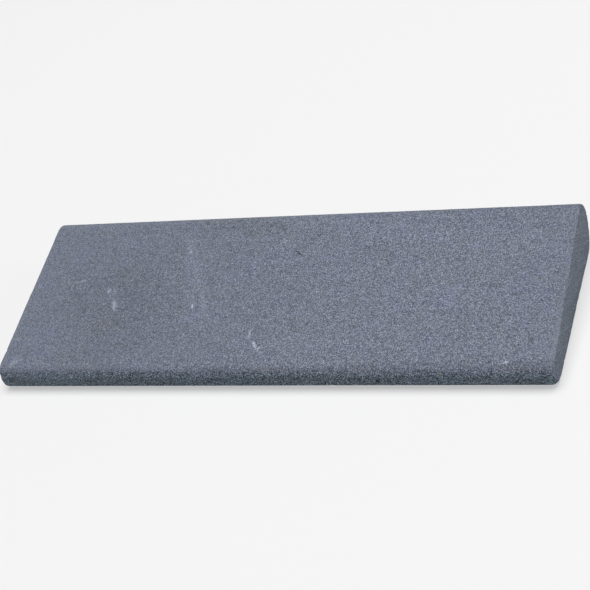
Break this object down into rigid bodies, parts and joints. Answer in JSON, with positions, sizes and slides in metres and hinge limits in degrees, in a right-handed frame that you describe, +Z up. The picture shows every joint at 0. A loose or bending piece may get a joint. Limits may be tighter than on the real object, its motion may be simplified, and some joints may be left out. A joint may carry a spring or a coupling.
{
  "type": "sharpening whetstone",
  "caption": "Wedge-section sharpening slip stone: flat honing faces that converge, a narrow and a wide rounded edge, and square sawn ends with broken corners.",
  "frame": {"origin": "centre of the stone's bounding box in X and Y, on the plane that its lower broad face rests on", "axes": "+X along the length, +Y from the narrow rounded edge to the wide rounded edge, +Z up out of the base"},
  "size_m": [0.115, 0.0448, 0.012],
  "materials": {
    "bonded_abrasive": "matte"
  },
  "bodies": {
    "root": {"slip_stone": "bonded_abrasive"}
  },
  "joints": []
}
